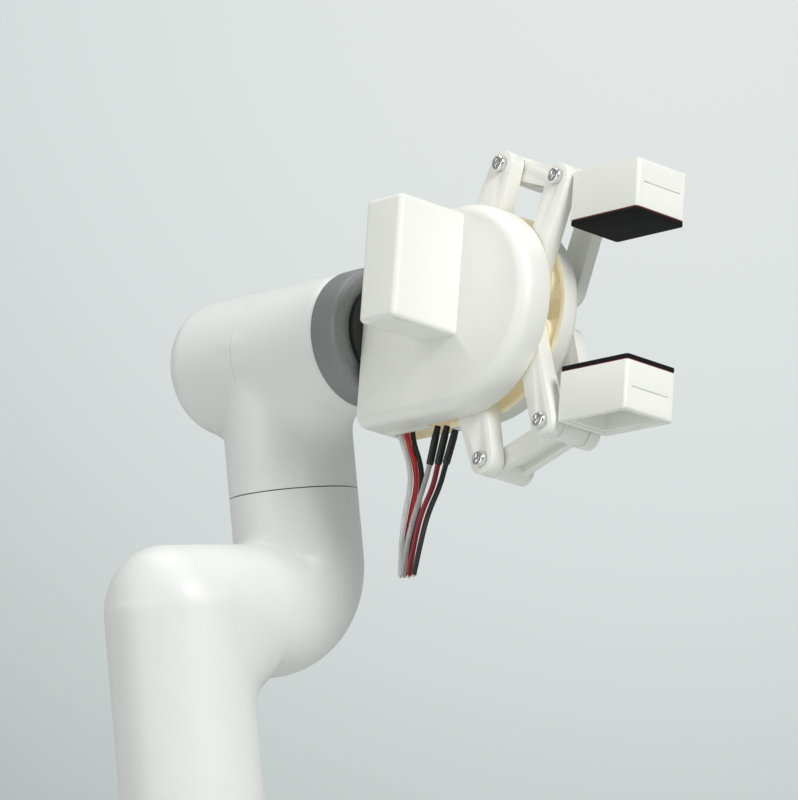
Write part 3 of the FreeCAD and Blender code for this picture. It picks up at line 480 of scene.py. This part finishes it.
def shoulder():
    low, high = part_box("shoulder_housing")
    head = tube((0, -0.038, SHOULDER_Z), (0, high.y + 0.006, SHOULDER_Z), 0.032, 0.009)
    stem = tube((0, 0, low.z - 0.006), (0, 0, SHOULDER_Z), 0.0286)
    field = blend_of(head, stem, 0.010)
    limits = ((-0.036, -0.042, low.z - 0.009), (0.036, high.y + 0.009, 0.171), 0.0018)
    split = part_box("shoulder_cap")[1].y
    ends = [((0, 0, low.z), (0, 0, -1)), ((0, high.y, 0), (0, 1, 0))]
    housing = skin_mesh("shoulder_skin", field, *limits, ends + [((0, split + CAP_GAP, 0), (0, -1, 0))])
    skinned("shoulder_skin", housing, "shoulder_housing")
    cap = skin_mesh("shoulder_end_cap", field, *limits, [((0, split, 0), (0, 1, 0))])
    skinned("shoulder_end_cap", cap, "shoulder_cap")


def upper_arm():
    y = ARM_OFFSET
    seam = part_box("upper_arm_housing")[0].y
    middle = tube((0, y, SHOULDER_Z), (0, y, ELBOW_Z), 0.026)
    lower = tube((0, seam - 0.006, SHOULDER_Z), (0, y + 0.028, SHOULDER_Z), 0.032, 0.012)
    upper = tube((0, seam - 0.006, ELBOW_Z), (0, y + 0.028, ELBOW_Z), 0.028, 0.012)
    field = stacked(blend_of(lower, middle, 0.012), blend_of(upper, middle, 0.012),
                    (SHOULDER_Z + ELBOW_Z) / 2)
    mesh = skin_mesh("upper_arm_skin", field, (-0.036, seam - 0.009, 0.099), (0.036, 0.091, 0.284), 0.0018,
                     [((0, seam, 0), (0, -1, 0))])
    low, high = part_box("upper_arm_cover")
    mesh, cover = window_cuts(mesh, (low.x, low.y, low.z), (high.x, high.y + 0.003, high.z), COVER_GAP)
    skinned("upper_arm_skin", mesh, "upper_arm_housing")
    skinned("upper_arm_skin_cover", cover, "upper_arm_cover")


def forearm():
    low_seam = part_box("elbow_output")[1].y
    high_seam = (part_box("forearm_housing")[1].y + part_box("wrist_elbow")[0].y) / 2 - FINE_SEAM
    middle = (ELBOW_Z + WRIST_Z) / 2
    stem = tube((0, 0, ELBOW_Z), (0, 0, WRIST_Z + 0.0095), 0.0246, 0.009)
    lower = tube((0, -0.0275, ELBOW_Z), (0, 0.036, ELBOW_Z), 0.028, 0.012)
    upper = tube((0, -0.0215, WRIST_Z), (0, high_seam + 0.020, WRIST_Z), 0.0233, 0.017)
    field = stacked(blend_of(lower, stem, 0.010), blend_of(upper, stem, 0.022), middle)
    mesh = skin_mesh("forearm_skin", field, (-0.032, -0.032, 0.220), (0.032, high_seam + 0.024, 0.389),
                     0.0016, [((0, high_seam, 0), (0, 1, 0))])
    work = bmesh.new()
    work.from_mesh(mesh)
    geometry = {f for f in work.faces if f.calc_center_median().z < middle}
    for face in list(geometry):
        geometry.update(face.verts)
        geometry.update(face.edges)
    bmesh.ops.bisect_plane(work, geom=list(geometry), dist=MERGE,
                           plane_co=(0, low_seam, 0), plane_no=(0, 1, 0), clear_outer=True)
    work.to_mesh(mesh)
    work.free()
    low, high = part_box("forearm_cover")
    mesh, cover = window_cuts(mesh, (low.x - 0.003, low.y, low.z), tuple(high), COVER_GAP)
    skinned("forearm_skin", mesh, "forearm_housing", 0)
    skinned("forearm_skin_cover", cover, "forearm_cover")


def wrist_elbow():
    seam = (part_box("forearm_housing")[1].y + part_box("wrist_elbow")[0].y) / 2 + FINE_SEAM
    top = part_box("wrist_elbow")[1].z
    y, turn, radius, wide = ARM_OFFSET, 0.018, 0.0225, 0.0231
    level = tube((0, seam - 0.006, WRIST_Z), (0, y - turn, WRIST_Z), wide)
    upright = tube((0, y, WRIST_Z + turn), (0, y, top + 0.006), radius)
    corner = bend((0, y - turn, WRIST_Z + turn), turn, wide, radius)
    field = either(blend_of(level, upright, 0.005), corner)
    mesh = skin_mesh("wrist_skin", field, (-0.027, seam - 0.009, 0.334), (0.027, 0.086, top + 0.009),
                     0.0014, [((0, seam, 0), (0, -1, 0)), ((0, 0, top), (0, 0, 1))])
    skinned("wrist_skin", mesh, "wrist_elbow", 0)


def tool_housing():
    """The moulded T is one form. The barrel's rear half is the cap, and the rest is the housing."""
    low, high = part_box("tool_housing")
    back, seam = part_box("tool_housing_cap")[0].x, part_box("tool_housing_cap")[1].x
    y, front = ARM_OFFSET, high.x
    barrel = tube((back, y, TOOL_Z), (front + 0.006, y, TOOL_Z), 0.024, 0.010)
    stem = tube((0, y, low.z - 0.006), (0, y, TOOL_Z), 0.0225)
    mesh = skin_mesh("tool_skin", blend_of(barrel, stem, 0.014), (back - 0.004, y - 0.028, low.z - 0.009),
                     (front + 0.009, y + 0.028, TOOL_Z + 0.028), 0.0014,
                     [((0, 0, low.z), (0, 0, -1)), ((front, 0, 0), (1, 0, 0))])
    work = bmesh.new()
    work.from_mesh(mesh)
    for place in (seam, seam + BARREL_GAP):
        bmesh.ops.bisect_plane(work, geom=work.verts[:] + work.edges[:] + work.faces[:], dist=2e-6,
                               plane_co=(place, 0, 0), plane_no=(1, 0, 0))
    centres = np.array([f.calc_center_median() for f in work.faces])
    on_barrel = barrel(centres) < 0.0004
    part = np.where(on_barrel & (centres[:, 0] < seam), 1, 0)
    part[on_barrel & (centres[:, 0] > seam) & (centres[:, 0] < seam + BARREL_GAP)] = 2
    for index, name, node in ((0, "tool_skin", "tool_housing"), (1, "tool_skin_cap", "tool_housing_cap")):
        kept = work.copy()
        kept.faces.ensure_lookup_table()
        gone = [f for f, here in zip(kept.faces, part) if here != index]
        bmesh.ops.delete(kept, geom=gone, context="FACES")
        made = bpy.data.meshes.new(name)
        kept.to_mesh(made)
        kept.free()
        skinned(name, made, node, 0.00005)
    work.free()


# ---------------------------------------------------------------- leads
# Route points in the gripper's own frame, the same as the CAD tubes'.
LEADS = {
    "lead_white_a": ((59.2, 4.2, -32.2), (60.6, 4.3, -37.7), (64.3, 5.4, -45.9), (64.3, 6.8, -53.3),
                     (61, 8, -62.4), (59.6, 8.5, -73.3), (60.2, 8.7, -84.2)),
    "lead_red_a": ((61, 5.5, -32.2), (62.2, 5.6, -37.6), (65.1, 7.2, -45.6), (65.2, 8.8, -52.8),
                   (61.7, 10.1, -62), (59.6, 10.8, -72.8), (59.8, 11, -83.6)),
    "lead_black_a": ((62.2, 7.4, -32.1), (63.1, 7.4, -37.5), (66.1, 9, -45.6), (65.7, 10.8, -52.6),
                     (62.4, 12.2, -61.7), (60, 12.9, -72.4), (59.6, 13.1, -83.2)),
    "lead_white_b": ((74.5, 8, -33.7), (73.3, 8, -39.2), (72.1, 7.6, -47.5), (70.3, 7, -55.4),
                     (66.7, 6.6, -65.5), (64.6, 6.3, -75.8), (64.4, 6.2, -85.2)),
    "lead_red_b": ((77.8, 9.2, -33.9), (76.4, 9.2, -39.2), (75, 8.6, -47.7), (74.6, 7.6, -55.2),
                   (71.3, 5.9, -64.4), (69.8, 5, -75.5), (68.5, 4.7, -85.9)),
    "lead_black_b": ((81.2, 10.4, -34.1), (79.6, 10.4, -39.5), (77.7, 9.6, -48.2), (77.4, 8.2, -55.1),
                     (75.4, 5.2, -65.3), (74.2, 3.8, -76.4), (72.7, 3.3, -86.5)),
}
LEAD_RADIUS = 0.00092
SLEEVE_RADIUS = 0.0013
SLEEVE_LONG = 0.0138


def route_curve(name, points):
    data = bpy.data.curves.new(name, "CURVE")
    data.dimensions = "3D"
    spline = data.splines.new("NURBS")
    spline.points.add(len(points) - 1)
    for target, point in zip(spline.points, points):
        target.co = (*point, 1)
    spline.order_u = 3
    spline.use_endpoint_u = True
    data.resolution_u = 16
    return data


def line_of(data):
    """The points of a route's own line."""
    holder = bpy.data.objects.new("line", data)
    bpy.context.scene.collection.objects.link(holder)
    bpy.context.view_layer.update()
    mesh = bpy.data.meshes.new_from_object(holder)
    points = [v.co.copy() for v in mesh.vertices]
    bpy.data.objects.remove(holder)
    bpy.data.meshes.remove(mesh)
    return points


def lofted(name, line, radii, body, material, sides=20):
    """A closed tube along a line of points, with a radius at each."""
    work = bmesh.new()
    rings = []
    for n, (point, radius) in enumerate(zip(line, radii)):
        ahead = line[min(n + 1, len(line) - 1)] - line[max(n - 1, 0)]
        side = ahead.cross(Vector((0, 1, 0))).normalized()
        other = ahead.cross(side).normalized()
        rings.append([work.verts.new(point + (side * math.cos(a) + other * math.sin(a)) * radius)
                      for a in (2 * math.pi * k / sides for k in range(sides))])
    for near, far in zip(rings, rings[1:]):
        for k in range(sides):
            work.faces.new((near[k], near[(k + 1) % sides], far[(k + 1) % sides], far[k]))
    work.faces.new(rings[0][::-1])
    work.faces.new(rings[-1])
    bmesh.ops.recalc_face_normals(work, faces=work.faces)
    mesh = bpy.data.meshes.new(name)
    work.to_mesh(mesh)
    work.free()
    smooth(mesh, 50)
    return linked(name, mesh, body, material)


def sleeve_on(name, line):
    """Heat-shrink over the top of a lead, puckered a little, and drawn in where it ends."""
    reach, kept = 0.0, [line[0]]
    for before, here in zip(line, line[1:]):
        reach += (here - before).length
        if reach > SLEEVE_LONG:
            break
        kept.append(here)
    count = len(kept) - 1
    swell = [min(1.0, n / count / 0.3) for n in range(count + 1)]
    radii = [SLEEVE_RADIUS * (0.8 + 0.2 * w * w * (3 - 2 * w) + 0.02 * math.sin(n * 1.9))
             for n, w in enumerate(swell)]
    radii[-1] = LEAD_RADIUS * 1.04
    radii[-2] = SLEEVE_RADIUS * 0.94
    return lofted(name, kept, radii, "gripper", SLEEVE)


def leads():
    for name, places in LEADS.items():
        points = [GRIPPER @ (Vector(p) * 0.001) for p in places]
        data = route_curve(name + "_cord", points)
        line = line_of(data)
        data.bevel_depth = LEAD_RADIUS
        data.bevel_resolution = 5
        data.use_fill_caps = True
        colour = "_".join(name.split("_")[:2])
        in_sleeve = name.endswith("_b")
        material = LEAD[colour]
        # The sleeved set B is drawn in painted shade: its red and white leads take the darker copies.
        if in_sleeve:
            material = {"lead_red": LEAD_RED_PAINTED_SHADE, "lead_white": LEAD_WHITE_PAINTED_SHADE}.get(colour, material)
        data.materials.append(material)
        piece = bpy.data.objects.new(name + "_cord", data)
        bpy.context.scene.collection.objects.link(piece)
        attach(piece, "gripper")
        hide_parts(name)
        end, before = line[-1], line[-3]
        onward = (end - before).normalized()
        tip = [end + onward * d for d in (-0.0004, 0.0002, 0.0006)]
        strands = lofted(name + "_strands", tip, (0.0005, 0.0005, 0.00044), "gripper", TINNED, 12)
        if in_sleeve:
            sleeve = sleeve_on(name + "_sleeve", line)


leads()
shoulder()
upper_arm()
forearm()
wrist_elbow()
tool_housing()


# ---------------------------------------------------------------- gripper, flange and base
# The hollow inside the gripper's case, in the gripper's own frame.
HOLLOW_FROM_X = 0.0740
HOLLOW_ROUND_X = 0.0984          # its far end is round about here
HOLLOW_RADIUS = 0.0343
HOLLOW_Y = (-0.0108, 0.01235)
TAPE = 0.0004                    # thickness of the tape under a finger pad


def inside_case(centre):
    """1 for the ivory faces inside the gripper's case, 0 outside."""
    place = GRIPPER.inverted() @ centre
    off = math.hypot(max(place.x - HOLLOW_ROUND_X, 0), place.z)
    return int(off < HOLLOW_RADIUS and HOLLOW_Y[0] < place.y < HOLLOW_Y[1] and place.x > HOLLOW_FROM_X)


def gripper():
    softened("gripper_front_shell", 0.0004, GRIP_WHITE, GRIP_IVORY_PAINTED_GLOW, pick=inside_case)
    softened("gripper_rear_shell", 0.0004, GRIP_WHITE, GRIP_IVORY_PAINTED_GLOW, pick=inside_case)
    for side in ("upper", "lower"):
        softened(f"{side}_drive_arm", 0.00035, GRIP_WHITE)
        softened(f"{side}_follower_link", 0.0004, GRIP_WHITE)
        softened(f"{side}_finger", 0.0003, GRIP_WHITE)
        softened(f"{side}_pivot_screws", 0.00008, SCREW)
        finger_pad(side)


def finger_pad(side):
    """A black foam pad on a thin maroon tape."""
    node = f"{side}_finger_pad"
    mesh = frame["nodes"][node].data
    places = [GRIPPER.inverted() @ v.co for v in mesh.vertices]
    low = Vector(min(p[k] for p in places) for k in range(3))
    high = Vector(max(p[k] for p in places) for k in range(3))
    if side == "upper":
        foam, tape = (low.z, high.z - TAPE), (high.z - TAPE, high.z)
    else:
        foam, tape = (low.z + TAPE, high.z), (low.z, low.z + TAPE)
    for (z0, z1), name, material, inset in ((foam, f"{side}_pad_foam", PAD, 0.0),
                                            (tape, f"{side}_pad_tape", PAD_TAPE, 0.0001)):
        work = bmesh.new()
        bmesh.ops.create_cube(work, size=1.0)
        size = Vector((high.x - low.x - 2 * inset, high.y - low.y - 2 * inset, z1 - z0))
        centre = Vector(((low.x + high.x) / 2, (low.y + high.y) / 2, (z0 + z1) / 2))
        for vert in work.verts:
            vert.co = Vector(vert.co[k] * size[k] for k in range(3)) + centre
        upright = [e for e in work.edges if abs(e.verts[0].co.z - e.verts[1].co.z) > 1e-5]
        bmesh.ops.bevel(work, geom=upright, offset=0.0012, segments=6, profile=0.5, affect="EDGES")
        bmesh.ops.transform(work, matrix=GRIPPER, verts=work.verts)
        made = bpy.data.meshes.new(name)
        work.to_mesh(made)
        work.free()
        piece = linked(name, made, body_name(node), material)
        if material is PAD:
            bevelled(piece, 0.00025, 60)
        applied(piece)
        smooth(piece.data, 40)
        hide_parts(node)


gripper()
softened("flange_ring", 0.0002, RING_GREY)
softened("base_housing", 0.0006, ARM_WHITE)
softened("foot_ring", 0.0004, FOOT)
softened("base_plate", 0.0004, PLATE)
softened("rear_panel", 0.0002, BLACK)
softened("power_button", 0.0004, BUTTON_RED)
softened("power_socket", 0.0002, BLACK)
softened("data_socket", 0.0002, SOCKET_METAL)

# CAD nodes that are shown as they are, each with its material.
PLAIN = {
    "flange_core": BLACK, "flange_screws": SCREW, "base_cover_screws": SCREW, "control_board": BOARD,
    "gripper_servo": SERVO_BLACK, "servo_horn": GRIP_WHITE,
}
for joint in ("base", "shoulder", "elbow", "wrist", "yaw", "tool"):
    PLAIN[f"{joint}_servo"] = SERVO_BLACK
    PLAIN[f"{joint}_bearing"] = STEEL
    if joint != "tool":
        PLAIN[f"{joint}_output"] = BLACK
for node, material in PLAIN.items():
    mesh = frame["nodes"][node].data
    mesh.materials.clear()
    mesh.materials.append(material)


# ---------------------------------------------------------------- studio
BRIGHT_WALL = Vector((-0.66, 0.72, 0.20)).normalized()     # towards the brightest part of the wall
WALL_TONES = ((0.55, (0.28, 0.285, 0.28)), (0.90, (0.34, 0.36, 0.355)), (0.976, (0.44, 0.49, 0.48)),
              (0.990, (0.66, 0.71, 0.70)), (1.0, (0.76, 0.80, 0.785)))
FLOOR_TONES = ((0.3, (0.62, 0.65, 0.64)), (0.7, (0.66, 0.69, 0.68)))
LIT_SPOT = Vector((0.03, 0.06, 0.42))                      # where the softboxes point


def studio():
    floor_mesh = bpy.data.meshes.new("studio_floor")
    half = 6.0
    corners = [(-half, -half, 0), (half, -half, 0), (half, half, 0), (-half, half, 0)]
    floor_mesh.from_pydata(corners, [], [(0, 1, 2, 3)])
    floor = bpy.data.objects.new("studio_floor", floor_mesh)
    bpy.context.scene.collection.objects.link(floor)
    n = Nodes("studio_floor")
    n.link(n.ramp(n.noise(3, 2), FLOOR_TONES), n.shader.inputs["Base Color"])
    n.shader.inputs["Roughness"].default_value = 0.8
    floor_mesh.materials.append(n.material)

    world = bpy.data.worlds.new("studio")
    bpy.context.scene.world = world
    world.use_nodes = True
    tree = world.node_tree
    place = tree.nodes.new("ShaderNodeTexCoord").outputs["Generated"]
    toward = tree.nodes.new("ShaderNodeVectorMath")
    toward.operation = "DOT_PRODUCT"
    toward.inputs[1].default_value = BRIGHT_WALL
    tree.links.new(place, toward.inputs[0])
    ramp = tree.nodes.new("ShaderNodeValToRGB")
    band = ramp.color_ramp
    while len(band.elements) < len(WALL_TONES):
        band.elements.new(0.5)
    for element, (position, colour) in zip(band.elements, WALL_TONES):
        element.position = position
        element.color = (*colour, 1)
    tree.links.new(toward.outputs["Value"], ramp.inputs["Fac"])
    background = tree.nodes["Background"]
    tree.links.new(ramp.outputs["Color"], background.inputs["Color"])
    background.inputs["Strength"].default_value = 1.0

    def softbox(name, place, size, power):
        data = bpy.data.lights.new(name, "AREA")
        data.shape = "RECTANGLE"
        data.size, data.size_y = size
        data.energy = power
        light = bpy.data.objects.new(name, data)
        bpy.context.scene.collection.objects.link(light)
        aim = (LIT_SPOT - Vector(place)).to_track_quat("-Z", "Y")
        light.matrix_world = Matrix.Translation(place) @ aim.to_matrix().to_4x4()
    softbox("top_box", (-0.3, -0.1, 2.4), (1.5, 1.5), 15)
    softbox("key_box", (1.70, -0.10, 1.40), (0.7, 0.7), 26)
    softbox("fill_box", (-0.3, -2.0, 0.9), (1.4, 1.4), 12)
    bpy.context.scene.view_settings.view_transform = "Standard"
    bpy.context.scene.view_settings.look = "None"


studio()
